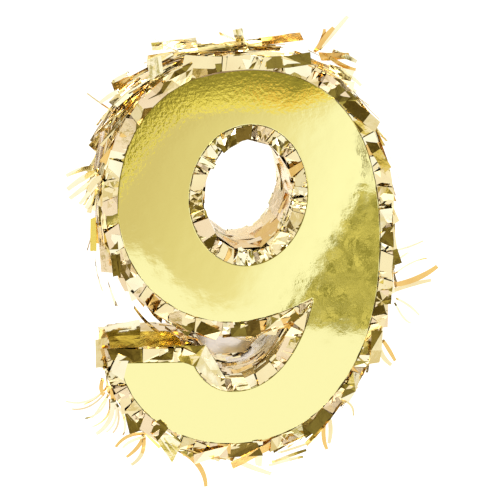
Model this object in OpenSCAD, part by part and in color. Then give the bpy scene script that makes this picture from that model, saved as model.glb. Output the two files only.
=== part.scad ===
// Number-nine pinata: a hollow card-board numeral with mirror-card faces and
// foil fringe on every edge. Millimetres, +Z up, the front face looks along -Y.
// The origin is the hang point: the outside of the top wall, midway between the
// two hanging holes and midway through the body.

/* [Body] */
// Thickness of the body, from mirror card to mirror card
body_t = 75; // [65:1:85]
// Thickness of the corrugated board of the front and back panels
board_t = 2; // [1.5:0.25:3]
// Thickness of the bent card walls
wall_t = 1.5; // [1:0.25:2]
// Thickness of the mirror-card faces
card_t = 1.5; // [1:0.25:2]
// How far the board stands out past the edge of the mirror card
board_margin = 11; // [10:0.5:12]

/* [Counter hole] */
// Half width of the counter hole in the mirror card
hole_a = 56; // [52:1:57]
// Half height of the counter hole in the mirror card
hole_b = 67.5; // [62:0.5:69]

/* [Fringe] */
// How far the foil fringe stands out past the edge of the mirror card
fringe_out = 15; // [14:0.5:15.5]
// Thickness of the paper tape along the seams
tape_t = 0.2; // [0.1:0.05:0.3]
// How far the seam tape and the edge fringe reach down the wall
wrap_w = 14; // [10:1:16]

/* [Filling flap] */
// Width of the filling flap
flap_w = 46; // [36:1:48]
// Height of the filling flap
flap_h = 70; // [50:1:74]
// Cut gap round the filling flap
flap_gap = 0.4; // [0.3:0.1:0.8]
// Radius of the thumb notch in the flap's free edge
notch_r = 9; // [6:1:12]

/* [Hanging] */
// Radius of the two hanging holes
hang_r = 2.5; // [2:0.25:3]
// Distance of each hanging hole from the middle of the body
hang_y = 14; // [12:0.5:15]
// Thickness of the reinforcing pad under the top wall
pad_t = 2; // [1:0.5:3]

/* [Hidden] */
$fn = 48;

// Depths, counted from the middle of the body
card_y = body_t / 2;              // outside of the mirror card
board_y = card_y - card_t;        // outside of the board panel
wall_y = board_y - board_t;       // end of the bent walls
rim_y = card_y - 0.3;             // outside of the edge fringe
wrap_y = board_y - wrap_w;        // inner end of the wrapped-over strips
row_y = wrap_y - 0.1;             // outer end of the middle fringe rows

// Outline of the mirror card, nine smooth curves, anticlockwise as seen from
// the front. Each curve is start, two handles, end, as [x, z].
TOP = [0, -11];
LEFT = [-120, -136];
UNDER = [-8, -254];
NOTCH = [71, -230];
THROAT = [-2, -324];
HOOK_IN = [-44, -293];
HOOK_TIP = [-114, -293];
BOTTOM = [2, -379];
RIGHT = [134, -207];
CURVES = [
  [TOP, [-74, -11], [-120, -59], LEFT],
  [LEFT, [-120, -203], [-70, -254], UNDER],
  [UNDER, [20, -254], [48, -243], NOTCH],
  [NOTCH, [64, -281], [38, -324], THROAT],
  [THROAT, [-24, -324], [-36, -311], HOOK_IN],
  [HOOK_IN, [-67, -293], [-91, -293], HOOK_TIP],
  [HOOK_TIP, [-102, -349], [-54, -379], BOTTOM],
  [BOTTOM, [84, -379], [134, -303], RIGHT],
  [RIGHT, [134, -81], [90, -11], TOP]];
// Straight steps along each curve
STEPS = [18, 16, 12, 16, 8, 3, 14, 18, 20];
// Curves that start at a corner standing out, and the one at the inner notch
SHARP = [5, 6];
INNER = 3;
// Middle of the counter hole
hole_x = 2.5;
hole_z = -130;

// Filling flap, on the back of the stem
flap_x = 95;
flap_z = -138;
flap_corner = 5;

// A point, a heading and an outward normal on a curve
function along(c, t) = pow(1 - t, 3) * c[0] + 3 * t * pow(1 - t, 2) * c[1]
  + 3 * t * t * (1 - t) * c[2] + pow(t, 3) * c[3];
function slope(c, t) = 3 * pow(1 - t, 2) * (c[1] - c[0])
  + 6 * t * (1 - t) * (c[2] - c[1]) + 3 * t * t * (c[3] - c[2]);
function unit(v) = v / norm(v);
function normal(c, t) = let (v = unit(slope(c, t))) [v[1], -v[0]];
function out_by(c, t, d) = along(c, t) + d * normal(c, t);
function has(v, k) = len([for (x = v) if (x == k) x]) > 0;
// Points of the outline itself, to measure distances from
EDGE = [for (k = [0:len(CURVES) - 1]) for (i = [0:STEPS[k] - 1])
  along(CURVES[k], i / STEPS[k])];
// True where a point moved out by d isn't nearer than d to another stretch
function is_free(p, d) = min([for (q = EDGE) norm(p - q)]) > d - 0.05;
// Corner of the moved-out outline at the start of curve k
function mitre(k, d) = let (a = normal(CURVES[k - 1], 1), b = normal(CURVES[k], 0))
  CURVES[k][0] + d * (a + b) / (1 + a * b);
// The whole outline moved out by d
function loop(d) = [for (k = [0:len(CURVES) - 1])
  each concat(
    has(SHARP, k) ? [out_by(CURVES[k - 1], 1, d), mitre(k, d)] : [],
    k == INNER ? [for (p = [out_by(CURVES[k - 1], 1, d)]) if (is_free(p, d)) p] : [],
    [for (i = [0:STEPS[k] - 1])
      let (p = out_by(CURVES[k], i / STEPS[k], d)) if (is_free(p, d)) p])];
// The counter hole's edge moved in by e
function oval(e, n = 56) = [for (i = [0:n - 1]) let (a = 360 * i / n)
  [hole_x + (hole_a - e) * cos(a), hole_z + (hole_b - e) * sin(a)]];

// A flat shape in the x-z plane, given depth from y0 to y1
module slab(y0, y1) {
  translate([0, y1, 0]) rotate([90, 0, 0]) linear_extrude(y1 - y0) children();
}
// The strip between the outline moved out by d0 and by d1
module ring(d0, d1) {
  difference() { polygon(loop(d1)); polygon(loop(d0)); }
}
// The strip between the counter hole moved in by e1 and by e0
module hole_ring(e0, e1) {
  difference() { polygon(oval(e0)); polygon(oval(e1)); }
}
// The two hanging holes, radius r, between heights z0 and z1
module hang_holes(r, z0, z1) {
  for (s = [-1, 1]) translate([0, s * hang_y, z0]) cylinder(r = r, h = z1 - z0);
}
// Outline of the filling flap with its edges moved out by g
module flap_shape(g) {
  w = flap_w / 2 + g;
  difference() {
    union() {
      translate([flap_x - w, flap_z - flap_h - g + flap_corner])
        square([2 * w, flap_h + g - flap_corner - flap_gap / 2 + min(g, 1) ]);
      translate([flap_x - w + flap_corner, flap_z - flap_h - g])
        square([2 * w - 2 * flap_corner, 2 * flap_corner]);
      for (s = [-1, 1]) translate([flap_x + s * (w - flap_corner), flap_z - flap_h - g + flap_corner])
        circle(r = flap_corner);
    }
    if (g == 0) translate([flap_x, flap_z - flap_h]) circle(r = notch_r);
  }
}

// Board panel with the counter hole, side s (-1 front, 1 back)
module panel_2d() {
  difference() { polygon(loop(board_margin)); polygon(oval(board_margin)); }
}
module front_panel() {
  color([0.78, 0.66, 0.48]) slab(-board_y, -wall_y) panel_2d();
}
module back_panel() {
  color([0.78, 0.66, 0.48]) slab(wall_y, board_y)
    difference() { panel_2d(); flap_shape(flap_gap); }
}

// A stretch of the bent outer wall: what of the wall lies in a region
module wall_in(region) {
  slab(-wall_y, wall_y) intersection() {
    ring(board_margin - wall_t, board_margin);
    polygon(region);
  }
}
module top_wall() {
  color([0.74, 0.62, 0.45]) difference() {
    wall_in([[-150, -60], [150, -60], [150, 20], [-150, 20]]);
    hang_holes(hang_r, -20, 20);
  }
}
module right_wall() {
  color([0.72, 0.6, 0.43]) wall_in([[85, -60], [85, -300], [170, -300], [170, -60]]);
}
module bottom_wall() {
  color([0.74, 0.62, 0.45])
    wall_in([[170, -300], [75, -300], [75, -345], [-50, -345], [-80, -310],
      [-98, -300], [-160, -300], [-160, -420], [170, -420]]);
}
module hook_wall() {
  color([0.72, 0.6, 0.43]) wall_in([[-50, -270], [-50, -290], [-98, -300], [-160, -300], [-160, -270]]);
}
module throat_wall() {
  color([0.76, 0.64, 0.46])
    wall_in([NOTCH, [42, -269], [-50, -269], [-50, -335], [75, -335]]);
}
module bowl_under_wall() {
  color([0.76, 0.64, 0.46])
    wall_in([NOTCH, [42, -269], [-50, -269], [-90, -262], [-90, -200], [0, -200]]);
}
module left_wall() {
  color([0.74, 0.62, 0.45]) wall_in([[-90, -60], [-90, -262], [-160, -262], [-160, -60]]);
}
// Wall round the counter hole
module hole_wall() {
  color([0.74, 0.62, 0.45]) slab(-wall_y, wall_y)
    hole_ring(board_margin - wall_t, board_margin);
}
// Reinforcing pad glued inside the top wall
module hanger_pad() {
  color([0.66, 0.54, 0.38]) difference() {
    slab(-28, 28) intersection() {
      ring(board_margin - wall_t - pad_t, board_margin - wall_t);
      translate([-32, -40]) square([64, 60]);
    }
    hang_holes(hang_r, -20, 20);
  }
}

// Paper tape folded over a seam; s is -1 at the front and 1 at the back
module outer_tape(s) {
  mirror([0, s > 0 ? 1 : 0, 0]) {
    slab(-board_y - tape_t, -board_y) ring(0, board_margin + tape_t);
    slab(-board_y, -wrap_y) ring(board_margin, board_margin + tape_t);
  }
}
module hole_tape(s) {
  mirror([0, s > 0 ? 1 : 0, 0]) {
    slab(-board_y - tape_t, -board_y) hole_ring(0, board_margin + tape_t);
    slab(-board_y, -wrap_y) hole_ring(board_margin, board_margin + tape_t);
  }
}
module front_outer_tape() { color([0.86, 0.8, 0.68]) outer_tape(-1); }
module back_outer_tape() { color([0.86, 0.8, 0.68]) outer_tape(1); }
module front_hole_tape() { color([0.86, 0.8, 0.68]) hole_tape(-1); }
module back_hole_tape() { color([0.86, 0.8, 0.68]) hole_tape(1); }

// Mirror card faces
module card_2d() {
  difference() { polygon(loop(0)); polygon(oval(0)); }
}
module front_face_card() {
  color([0.95, 0.88, 0.5]) slab(-card_y, -board_y) card_2d();
}
module back_face_card() {
  color([0.95, 0.88, 0.5]) slab(board_y, card_y)
    difference() { card_2d(); flap_shape(flap_gap); }
}
// Filling flap: a cut-out of the back panel, with the mirror card on it
module fill_flap() {
  color([0.78, 0.66, 0.48]) slab(wall_y, board_y) flap_shape(0);
}
module flap_face_card() {
  color([0.95, 0.88, 0.5]) slab(board_y, card_y) flap_shape(0);
}

// Foil fringe along an edge of the body, folded over it
module edge_fringe(s) {
  mirror([0, s > 0 ? 1 : 0, 0]) {
    slab(-rim_y, -board_y - tape_t) ring(0, fringe_out);
    slab(-board_y - tape_t, -wrap_y) ring(board_margin + tape_t, fringe_out);
  }
}
module hole_edge_fringe(s) {
  mirror([0, s > 0 ? 1 : 0, 0]) {
    slab(-rim_y, -board_y - tape_t) hole_ring(0, fringe_out);
    slab(-board_y - tape_t, -wrap_y) hole_ring(board_margin + tape_t, fringe_out);
  }
}
// A row of fringe round the wall from depth y0 to y1
module fringe_row(y0, y1) {
  difference() {
    slab(y0, y1) ring(board_margin, fringe_out - 0.5);
    hang_holes(hang_r + 2, -20, 20);
  }
}
module front_edge_fringe() { color([0.95, 0.85, 0.6]) edge_fringe(-1); }
module back_edge_fringe() { color([0.95, 0.85, 0.6]) edge_fringe(1); }
module fringe_row_1() { color([0.9, 0.78, 0.52]) fringe_row(-row_y, -row_y / 3 - 0.1); }
module fringe_row_2() { color([0.93, 0.82, 0.56]) fringe_row(-row_y / 3, row_y / 3); }
module fringe_row_3() { color([0.9, 0.78, 0.52]) fringe_row(row_y / 3 + 0.1, row_y); }
module front_hole_fringe() { color([0.95, 0.85, 0.6]) hole_edge_fringe(-1); }
module back_hole_fringe() { color([0.95, 0.85, 0.6]) hole_edge_fringe(1); }
module hole_fringe_row_1() {
  color([0.9, 0.74, 0.5]) slab(-row_y, -0.1) hole_ring(board_margin, fringe_out - 0.5);
}
module hole_fringe_row_2() {
  color([0.9, 0.74, 0.5]) slab(0.1, row_y) hole_ring(board_margin, fringe_out - 0.5);
}

// Strips of foil that stand off the fringe. Each is foot x, foot z, heading in
// degrees, length, width, foot y.
CURLS = [
  [-128, -92, 195, 42, 9, -24], [-130, -110, 215, 34, 8, -30],
  [-131, -150, 250, 30, 8, -26], [-60, 0, 120, 26, 10, -22],
  [-8, 2, 110, 24, 9, -26], [62, -4, 55, 34, 10, -20],
  [136, -222, 18, 46, 7, -28], [137, -200, 12, 34, 7, 10],
  [128, -270, -35, 38, 8, -30], [-40, -388, 235, 34, 9, -26],
  [60, -384, -80, 28, 9, -20], [-104, -60, 150, 28, 8, 20]];
// Narrow strands of the shredded ends, in the same form
STRANDS = [
  [66, 2, 70, 34, 4, -30], [74, 0, 50, 36, 4, -24],
  [-122, -314, 207, 46, 3, -30], [-120, -326, 222, 50, 3, -28],
  [-112, -340, 238, 44, 3, -30], [-102, -352, 258, 52, 3, -26],
  [-30, -393, 240, 42, 4, -30], [32, -391, 266, 28, 5, -28],
  [98, -366, 276, 42, 4, -26], [-68, -376, 248, 30, 5, 6],
  [142, -190, 10, 32, 3, -30], [140, -250, -25, 36, 3, -24]];
// All of the body out to the face of the fringe
module to_fringe_face() {
  for (s = [-1, 1]) slab(min(s * rim_y, s * wrap_y), max(s * rim_y, s * wrap_y))
    polygon(loop(fringe_out));
  slab(-wrap_y, wrap_y) polygon(loop(fringe_out - 0.5));
}
module strips(list) {
  difference() {
    for (s = list) translate([s[0], s[5], s[1]]) rotate([0, -s[2], 0])
      translate([0, -s[4] / 2, 0]) cube([s[3], s[4], 0.4]);
    to_fringe_face();
  }
}
module loose_curls() { color([0.98, 0.92, 0.75]) strips(CURLS); }
module tinsel_strands() { color([0.92, 0.8, 0.5]) strips(STRANDS); }

front_panel();
back_panel();
top_wall();
right_wall();
bottom_wall();
hook_wall();
throat_wall();
bowl_under_wall();
left_wall();
hole_wall();
hanger_pad();
front_outer_tape();
back_outer_tape();
front_hole_tape();
back_hole_tape();
front_face_card();
back_face_card();
fill_flap();
flap_face_card();
front_edge_fringe();
fringe_row_1();
fringe_row_2();
fringe_row_3();
back_edge_fringe();
front_hole_fringe();
hole_fringe_row_1();
hole_fringe_row_2();
back_hole_fringe();
loose_curls();
tinsel_strands();
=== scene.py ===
import bpy, math, random
import numpy as np
from mathutils import Vector, Matrix, noise
from mathutils.geometry import delaunay_2d_cdt


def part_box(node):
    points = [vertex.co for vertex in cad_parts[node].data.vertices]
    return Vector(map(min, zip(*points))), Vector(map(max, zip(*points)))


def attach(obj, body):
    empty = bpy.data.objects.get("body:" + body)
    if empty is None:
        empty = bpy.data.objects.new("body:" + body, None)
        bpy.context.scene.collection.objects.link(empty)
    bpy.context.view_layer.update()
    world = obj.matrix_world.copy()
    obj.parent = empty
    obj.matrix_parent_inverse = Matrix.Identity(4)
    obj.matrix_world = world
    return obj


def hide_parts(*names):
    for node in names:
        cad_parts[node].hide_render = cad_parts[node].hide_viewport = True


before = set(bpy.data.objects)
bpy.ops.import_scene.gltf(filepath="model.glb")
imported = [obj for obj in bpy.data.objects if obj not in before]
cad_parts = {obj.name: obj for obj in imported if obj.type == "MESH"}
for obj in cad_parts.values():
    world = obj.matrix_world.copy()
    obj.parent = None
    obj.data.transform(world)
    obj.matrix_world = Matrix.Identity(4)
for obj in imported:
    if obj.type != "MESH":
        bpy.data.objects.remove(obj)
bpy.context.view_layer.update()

MM = 0.001

# ---------------------------------------------------------------- outline
# The numeral's outline, the same rule as in the CAD model, as (x, z) in mm.
TOP, LEFT, UNDER, NOTCH = (0, -11), (-120, -136), (-8, -254), (71, -230)
THROAT, HOOK_IN, HOOK_TIP = (-2, -324), (-44, -293), (-114, -293)
BOTTOM, RIGHT = (2, -379), (134, -207)
CURVES = [
    (TOP, (-74, -11), (-120, -59), LEFT),
    (LEFT, (-120, -203), (-70, -254), UNDER),
    (UNDER, (20, -254), (48, -243), NOTCH),
    (NOTCH, (64, -281), (38, -324), THROAT),
    (THROAT, (-24, -324), (-36, -311), HOOK_IN),
    (HOOK_IN, (-67, -293), (-91, -293), HOOK_TIP),
    (HOOK_TIP, (-102, -349), (-54, -379), BOTTOM),
    (BOTTOM, (84, -379), (134, -303), RIGHT),
    (RIGHT, (134, -81), (90, -11), TOP),
]
HOLE = (2.5, -130.0, 56.0, 67.5)
YF = float(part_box("front_face_card")[0].y) * 1000  # front mirror plane, -37.5
YB = float(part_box("back_face_card")[1].y) * 1000   # back mirror plane, 37.5
OUT_D = 15.0


def bez(c, t):
    c = [np.array(p, float) for p in c]
    return (1 - t) ** 3 * c[0] + 3 * t * (1 - t) ** 2 * c[1] + 3 * t * t * (1 - t) * c[2] + t ** 3 * c[3]


def dbez(c, t):
    c = [np.array(p, float) for p in c]
    return 3 * (1 - t) ** 2 * (c[1] - c[0]) + 6 * t * (1 - t) * (c[2] - c[1]) + 3 * t * t * (c[3] - c[2])


class Path:
    """A closed line with an outward normal at each point, by length along it."""

    def __init__(self, pos, nor):
        self.pos, self.nor = np.array(pos), np.array(nor)
        step = np.linalg.norm(np.roll(self.pos, -1, 0) - self.pos, axis=1)
        # round a corner the point stands still and the normal turns: give it some length
        turn = np.linalg.norm(np.roll(self.nor, -1, 0) - self.nor, axis=1) * 9.0
        self.s = np.concatenate([[0], np.cumsum(np.maximum(step, turn * (step < 1e-6)))])
        self.total = float(self.s[-1])
        self.pos = np.vstack([self.pos, self.pos[:1]])
        self.nor = np.vstack([self.nor, self.nor[:1]])

    def at(self, s):
        s = s % self.total
        k = int(np.searchsorted(self.s, s, side="right") - 1)
        k = min(k, len(self.s) - 2)
        w = (s - self.s[k]) / max(self.s[k + 1] - self.s[k], 1e-9)
        p = self.pos[k] * (1 - w) + self.pos[k + 1] * w
        n = self.nor[k] * (1 - w) + self.nor[k + 1] * w
        n = n / max(np.linalg.norm(n), 1e-9)
        return p, n

    def point(self, s, d, y):
        p, n = self.at(s)
        return Vector((p[0] + n[0] * d, y, p[1] + n[1] * d))


def make_outline():
    pos, nor = [], []
    mark = {}
    for k, c in enumerate(CURVES):
        n = max(12, int(np.linalg.norm(np.array(c[3], float) - np.array(c[0], float)) / 1.6))
        v0 = dbez(c, 0.0)
        n0 = np.array([v0[1], -v0[0]]) / np.linalg.norm(v0)
        if nor and np.dot(nor[-1], n0) < 0.97:   # a corner: turn the normal in steps
            a = nor[-1]
            cross = a[0] * n0[1] - a[1] * n0[0]
            if cross > 0:
                for i in range(1, 12):
                    m = a * (1 - i / 12) + n0 * (i / 12)
                    pos.append(np.array(c[0], float)); nor.append(m / np.linalg.norm(m))
        mark[k] = len(pos)
        for i in range(n):
            t = i / n
            v = dbez(c, t)
            v = v / np.linalg.norm(v)
            pos.append(bez(c, t)); nor.append(np.array([v[1], -v[0]]))
    p = Path(pos, nor)
    p.mark = {k: float(p.s[i]) for k, i in mark.items()}
    return p


OUTLINE = make_outline()
_EDGE = OUTLINE.pos[:-1]


def make_hole():
    pos, nor = [], []
    x, z, a, b = HOLE
    for i in range(240):
        t = -2 * math.pi * i / 240
        g = np.array([math.cos(t) / a, math.sin(t) / b])
        pos.append(np.array([x + a * math.cos(t), z + b * math.sin(t)])); nor.append(-g / np.linalg.norm(g))
    return Path(pos, nor)


OVAL = make_hole()


def edge_gap(x, z):
    return float(np.min(np.hypot(_EDGE[:, 0] - x, _EDGE[:, 1] - z)))


def reach(path, s, d):
    """d, cut down where another stretch of the outline is nearer than that."""
    if path is not OUTLINE:
        return d
    while d > 1.0:
        p = path.point(s, d, 0)
        if edge_gap(p.x, p.z) > d - 0.6:
            break
        d -= 1.0
    return d


# ------------------------------------------------------------- mesh helpers
class Builder:
    """Collects thin foil pieces as closed shells, in mm."""

    def __init__(self):
        self.v, self.f, self.m = [], [], []

    def sheet(self, rows, mat=0, th=0.14, rng=None):
        """rows: list of rows of points. A thin closed sheet with flat facets."""
        nr, nc = len(rows), len(rows[0])
        nrm = [[None] * nc for _ in range(nr)]
        for i in range(nr):
            for j in range(nc):
                a = rows[min(i + 1, nr - 1)][j] - rows[max(i - 1, 0)][j]
                b = rows[i][min(j + 1, nc - 1)] - rows[i][max(j - 1, 0)]
                n = a.cross(b)
                nrm[i][j] = n.normalized() if n.length > 1e-9 else Vector((0, -1, 0))
        base = len(self.v)
        for i in range(nr):
            for j in range(nc):
                self.v.append(rows[i][j] + nrm[i][j] * (th / 2))
        for i in range(nr):
            for j in range(nc):
                self.v.append(rows[i][j] - nrm[i][j] * (th / 2))
        o = nr * nc
        idx = lambda i, j: base + i * nc + j

        def add(*f):
            self.f.append(f); self.m.append(mat)
        for i in range(nr - 1):
            for j in range(nc - 1):
                a, b, c, d = idx(i, j), idx(i, j + 1), idx(i + 1, j + 1), idx(i + 1, j)
                if rng is None or rng.random() < 0.5:
                    add(d, b, a); add(d, c, b)
                    add(a + o, b + o, d + o); add(b + o, c + o, d + o)
                else:
                    add(c, b, a); add(d, c, a)
                    add(a + o, b + o, c + o); add(a + o, c + o, d + o)
        for j in range(nc - 1):
            a, b = idx(0, j), idx(0, j + 1)
            add(a, b, b + o, a + o)
            a, b = idx(nr - 1, j), idx(nr - 1, j + 1)
            add(b, a, a + o, b + o)
        for i in range(nr - 1):
            a, b = idx(i, 0), idx(i + 1, 0)
            add(b, a, a + o, b + o)
            a, b = idx(i, nc - 1), idx(i + 1, nc - 1)
            add(a, b, b + o, a + o)

    def object(self, name, mats, smooth=False):
        me = bpy.data.meshes.new(name)
        me.from_pydata([(p.x * MM, p.y * MM, p.z * MM) for p in self.v], [], self.f)
        for m in mats:
            me.materials.append(m)
        me.polygons.foreach_set("material_index", self.m)
        if smooth:
            me.polygons.foreach_set("use_smooth", [True] * len(self.f))
        me.validate()
        me.update()
        o = bpy.data.objects.new(name, me)
        bpy.context.scene.collection.objects.link(o)
        return o


def over_hang_hole(rows):
    """Number of leading rows that stay clear of the two hanging holes."""
    for i in range(len(rows) - 1):
        for a in np.linspace(0, 1, 5):
            p = rows[i][0].lerp(rows[i + 1][0], a)
            q = rows[i][-1].lerp(rows[i + 1][-1], a)
            for b in np.linspace(0, 1, 4):
                r = p.lerp(q, b)
                if r.z > -14 and math.hypot(r.x, abs(r.y) - 14) < 4.6:
                    return i
    return len(rows)


def ribbon(B, pts, widths, side, mat=0, th=0.14, cup=0.0, twist=0.0, rng=None, across=1):
    """A foil strip along pts (mm). side: a direction across the strip at its foot."""
    n = len(pts)
    side = Vector(side).normalized()
    rows = []
    for i, p in enumerate(pts):
        t = (pts[min(i + 1, n - 1)] - pts[max(i - 1, 0)]).normalized()
        s = side - t * side.dot(t)
        s = s.normalized() if s.length > 1e-6 else Vector((0, 1, 0))
        u = t.cross(s)
        a = twist * i / max(n - 1, 1)
        s2 = s * math.cos(a) + u * math.sin(a)
        u2 = t.cross(s2)
        w = widths[i] if hasattr(widths, "__len__") else widths
        row = []
        for k in range(across + 1):
            f = k / across * 2 - 1
            row.append(p + s2 * (f * w / 2) + u2 * (cup * (1 - f * f)))
        rows.append(row)
    B.sheet(rows, mat, th, rng)


# ---------------------------------------------------------------- materials
def principled(name, base, metallic, rough):
    m = bpy.data.materials.new(name)
    m.use_nodes = True
    nt = m.node_tree
    b = nt.nodes["Principled BSDF"]
    b.inputs["Base Color"].default_value = (*base, 1)
    b.inputs["Metallic"].default_value = metallic
    b.inputs["Roughness"].default_value = rough
    return m, nt, b


def N(nt, kind, **kw):
    n = nt.nodes.new(kind)
    for k, v in kw.items():
        if hasattr(n, k):
            setattr(n, k, v)
        else:
            n.inputs[k.replace("_", " ")].default_value = v
    return n


def obj_coords(nt):
    return nt.nodes.new("ShaderNodeTexCoord").outputs["Object"]


def foil_material(name, base, rough, wrinkle=1.0, deep=(0.7, 0.45, 0.2)):
    m, nt, b = principled(name, base, 1.0, rough)
    co = obj_coords(nt)
    # slight drift of tone between stretches of the foil
    n1 = N(nt, "ShaderNodeTexNoise", Scale=38.0, Detail=2.0)
    nt.links.new(co, n1.inputs["Vector"])
    mix = N(nt, "ShaderNodeMix", data_type="RGBA")
    mix.inputs["A"].default_value = (*base, 1) if "A" in mix.inputs else (*base, 1)
    ramp = N(nt, "ShaderNodeMapRange")
    ramp.inputs["From Min"].default_value = 0.42
    ramp.inputs["From Max"].default_value = 0.72
    nt.links.new(n1.outputs["Fac"], ramp.inputs["Value"])
    a_in = [i for i in mix.inputs if i.name == "A" and i.type == "RGBA"][0]
    b_in = [i for i in mix.inputs if i.name == "B" and i.type == "RGBA"][0]
    f_in = [i for i in mix.inputs if i.name == "Factor" and i.type == "VALUE"][0]
    res = [o for o in mix.outputs if o.type == "RGBA"][0]
    a_in.default_value = (*base, 1)
    b_in.default_value = (*[x * 0.78 + y * 0.22 for x, y in zip(base, deep)], 1)
    nt.links.new(ramp.outputs["Result"], f_in)
    nt.links.new(res, b.inputs["Base Color"])
    # fine creases and crinkle of thin film
    n2 = N(nt, "ShaderNodeTexNoise", Scale=170.0, Detail=3.0)
    n2.inputs["Roughness"].default_value = 0.6
    nt.links.new(co, n2.inputs["Vector"])
    v = N(nt, "ShaderNodeTexVoronoi", Scale=95.0)
    v.feature = "DISTANCE_TO_EDGE"
    nt.links.new(co, v.inputs["Vector"])
    add = N(nt, "ShaderNodeMath", operation="MULTIPLY_ADD")
    nt.links.new(v.outputs["Distance"], add.inputs[0])
    add.inputs[1].default_value = 0.8
    nt.links.new(n2.outputs["Fac"], add.inputs[2])
    bump = N(nt, "ShaderNodeBump")
    bump.inputs["Strength"].default_value = 0.55
    bump.inputs["Distance"].default_value = 0.0004 * wrinkle
    nt.links.new(add.outputs[0], bump.inputs["Height"])
    # broad bends of a strip
    n3 = N(nt, "ShaderNodeTexNoise", Scale=48.0, Detail=1.0)
    nt.links.new(co, n3.inputs["Vector"])
    bend = N(nt, "ShaderNodeBump")
    bend.inputs["Strength"].default_value = 1.0
    bend.inputs["Distance"].default_value = 0.0006
    nt.links.new(n3.outputs["Fac"], bend.inputs["Height"])
    nt.links.new(bump.outputs["Normal"], bend.inputs["Normal"])
    nt.links.new(bend.outputs["Normal"], b.inputs["Normal"])
    r = N(nt, "ShaderNodeMapRange")
    r.inputs["To Min"].default_value = rough * 0.7
    r.inputs["To Max"].default_value = rough * 1.5
    nt.links.new(n2.outputs["Fac"], r.inputs["Value"])
    nt.links.new(r.outputs["Result"], b.inputs["Roughness"])
    return m


def card_material():
    base = (0.895, 0.842, 0.385)
    m, nt, b = principled("mirror_card_gold", base, 1.0, 0.05)
    co = obj_coords(nt)
    # orange peel of film laminated on board
    peel = N(nt, "ShaderNodeTexNoise", Scale=270.0, Detail=2.0)
    peel.inputs["Roughness"].default_value = 0.6
    nt.links.new(co, peel.inputs["Vector"])
    wave = N(nt, "ShaderNodeTexNoise", Scale=90.0, Detail=0.5)
    nt.links.new(co, wave.inputs["Vector"])
    at = N(nt, "ShaderNodeAttribute")
    at.attribute_name = "wrinkled"
    amt = N(nt, "ShaderNodeMapRange")
    amt.inputs["From Max"].default_value = 0.45
    amt.inputs["To Max"].default_value = 0.000085
    nt.links.new(at.outputs["Fac"], amt.inputs["Value"])
    b1 = N(nt, "ShaderNodeBump")
    b1.inputs["Strength"].default_value = 1.0
    b1.inputs["Distance"].default_value = 0.000007
    nt.links.new(peel.outputs["Fac"], b1.inputs["Height"])
    # the pressed edge is crazed all over with tiny creases
    craze = N(nt, "ShaderNodeTexNoise", Scale=300.0, Detail=2.5)
    nt.links.new(co, craze.inputs["Vector"])
    b3 = N(nt, "ShaderNodeBump")
    b3.inputs["Strength"].default_value = 1.0
    nt.links.new(amt.outputs["Result"], b3.inputs["Distance"])
    nt.links.new(craze.outputs["Fac"], b3.inputs["Height"])
    nt.links.new(b3.outputs["Normal"], b1.inputs["Normal"])
    b2 = N(nt, "ShaderNodeBump")
    b2.inputs["Strength"].default_value = 1.0
    b2.inputs["Distance"].default_value = 0.000030
    nt.links.new(wave.outputs["Fac"], b2.inputs["Height"])
    nt.links.new(b1.outputs["Normal"], b2.inputs["Normal"])
    nt.links.new(b2.outputs["Normal"], b.inputs["Normal"])
    # faint rub marks
    rub = N(nt, "ShaderNodeTexNoise", Scale=60.0, Detail=5.0)
    nt.links.new(co, rub.inputs["Vector"])
    r = N(nt, "ShaderNodeMapRange")
    r.inputs["From Min"].default_value = 0.35
    r.inputs["From Max"].default_value = 0.75
    r.inputs["To Min"].default_value = 0.02
    r.inputs["To Max"].default_value = 0.05
    nt.links.new(rub.outputs["Fac"], r.inputs["Value"])
    nt.links.new(r.outputs["Result"], b.inputs["Roughness"])
    return m


def board_material(name, base, dark, flutes=True):
    m, nt, b = principled(name, base, 0.0, 0.85)
    co = obj_coords(nt)
    n1 = N(nt, "ShaderNodeTexNoise", Scale=420.0, Detail=6.0)
    nt.links.new(co, n1.inputs["Vector"])
    st = N(nt, "ShaderNodeMapping")
    st.inputs["Scale"].default_value = (60, 60, 900)
    nt.links.new(co, st.inputs["Vector"])
    n2 = N(nt, "ShaderNodeTexNoise", Scale=1.0, Detail=4.0)
    nt.links.new(st.outputs["Vector"], n2.inputs["Vector"])
    addn = N(nt, "ShaderNodeMath", operation="ADD")
    nt.links.new(n1.outputs["Fac"], addn.inputs[0])
    nt.links.new(n2.outputs["Fac"], addn.inputs[1])
    ramp = N(nt, "ShaderNodeValToRGB")
    ramp.color_ramp.elements[0].position = 0.32
    ramp.color_ramp.elements[0].color = (*dark, 1)
    ramp.color_ramp.elements[1].position = 0.62
    ramp.color_ramp.elements[1].color = (*base, 1)
    half = N(nt, "ShaderNodeMath", operation="MULTIPLY")
    half.inputs[1].default_value = 0.5
    nt.links.new(addn.outputs[0], half.inputs[0])
    nt.links.new(half.outputs[0], ramp.inputs["Fac"])
    nt.links.new(ramp.outputs["Color"], b.inputs["Base Color"])
    bump = N(nt, "ShaderNodeBump")
    bump.inputs["Strength"].default_value = 0.5
    bump.inputs["Distance"].default_value = 0.00025
    if flutes:  # washboard lines of the flutes telegraph through the liner
        w = N(nt, "ShaderNodeTexWave", Scale=48.0)
        w.bands_direction = "X"
        nt.links.new(co, w.inputs["Vector"])
        mx = N(nt, "ShaderNodeMath", operation="MULTIPLY_ADD")
        mx.inputs[1].default_value = 0.6
        nt.links.new(w.outputs["Fac"], mx.inputs[0])
        nt.links.new(half.outputs[0], mx.inputs[2])
        nt.links.new(mx.outputs[0], bump.inputs["Height"])
    else:
        nt.links.new(half.outputs[0], bump.inputs["Height"])
    nt.links.new(bump.outputs["Normal"], b.inputs["Normal"])
    return m


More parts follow.
